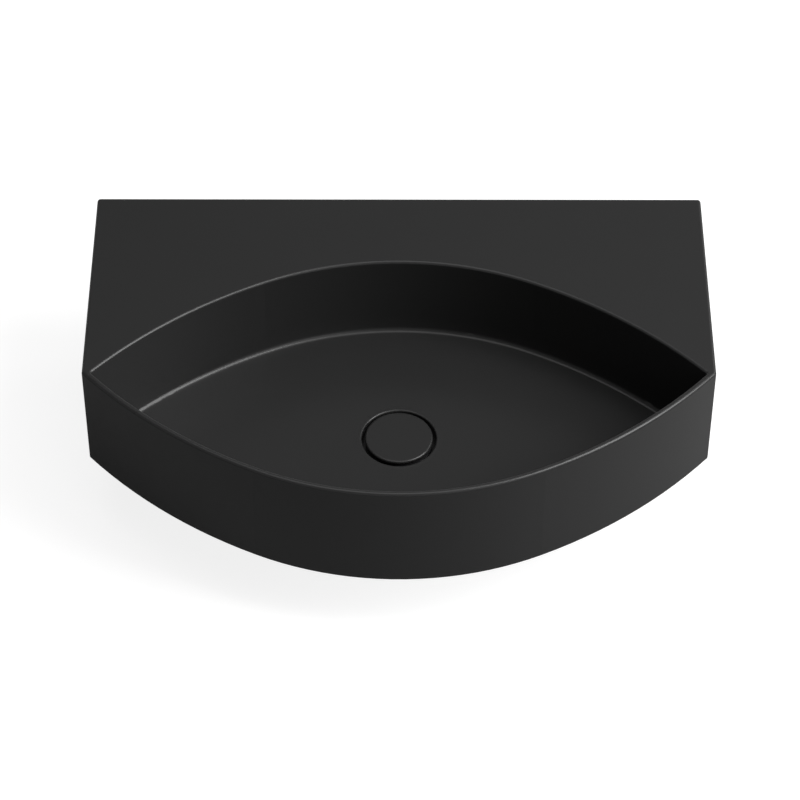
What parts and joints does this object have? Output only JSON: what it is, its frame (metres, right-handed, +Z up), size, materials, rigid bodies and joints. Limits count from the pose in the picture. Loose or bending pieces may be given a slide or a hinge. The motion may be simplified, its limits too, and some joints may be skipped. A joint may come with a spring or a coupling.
{
  "type": "bathroom sink",
  "caption": "Wall-hung matte black ceramic washbasin with a flat rear deck, a lens-shaped bowl behind a thin bowed front wall, and a push-to-open waste with a round cover.",
  "frame": {"origin": "on the wall face, midway between the two wall-fixing holes, at half the height of the ceramic", "axes": "+Z up, +X along the wall to the right as seen from the front, +Y into the wall, so the front faces -Y"},
  "size_m": [0.6, 0.3949, 0.186],
  "materials": {
    "black_glaze": "matte black glaze",
    "cap_glaze": "matte black glaze",
    "coated_brass": "brass with a satin black coating",
    "bare_brass": "machined brass",
    "spring_steel": "drawn stainless wire and sheet",
    "seal_rubber": "moulded black rubber",
    "flange_foam": "grey cellular rubber",
    "slip_plastic": "natural polyethylene",
    "carrier_plastic": "moulded black acetal",
    "bond": "silicone bonding pad"
  },
  "bodies": {
    "basin": {"basin_body": "black_glaze", "waste_body": "coated_brass", "flange_gasket": "flange_foam", "lower_gasket": "seal_rubber", "slip_washer": "slip_plastic", "back_nut": "bare_brass", "cartridge_housing": "bare_brass", "cartridge_collar": "bare_brass", "collar_wiper": "seal_rubber", "cartridge_washer": "spring_steel", "cartridge_nut": "bare_brass", "cartridge_spring": "spring_steel"},
    "plug": {"waste_cap": "cap_glaze", "cap_bond_pad": "bond", "cap_carrier": "carrier_plastic", "carrier_insert": "bare_brass", "cap_seal": "seal_rubber", "plunger": "bare_brass", "plunger_locknut": "bare_brass", "cam_rotor": "carrier_plastic"}
  },
  "joints": [
    {"name": "plug_slide", "type": "slide", "parent": "basin", "child": "plug", "axis": [0, 0, 1], "range_m": [-0.0015, 0.009], "deforming": ["cartridge_spring"]}
  ]
}
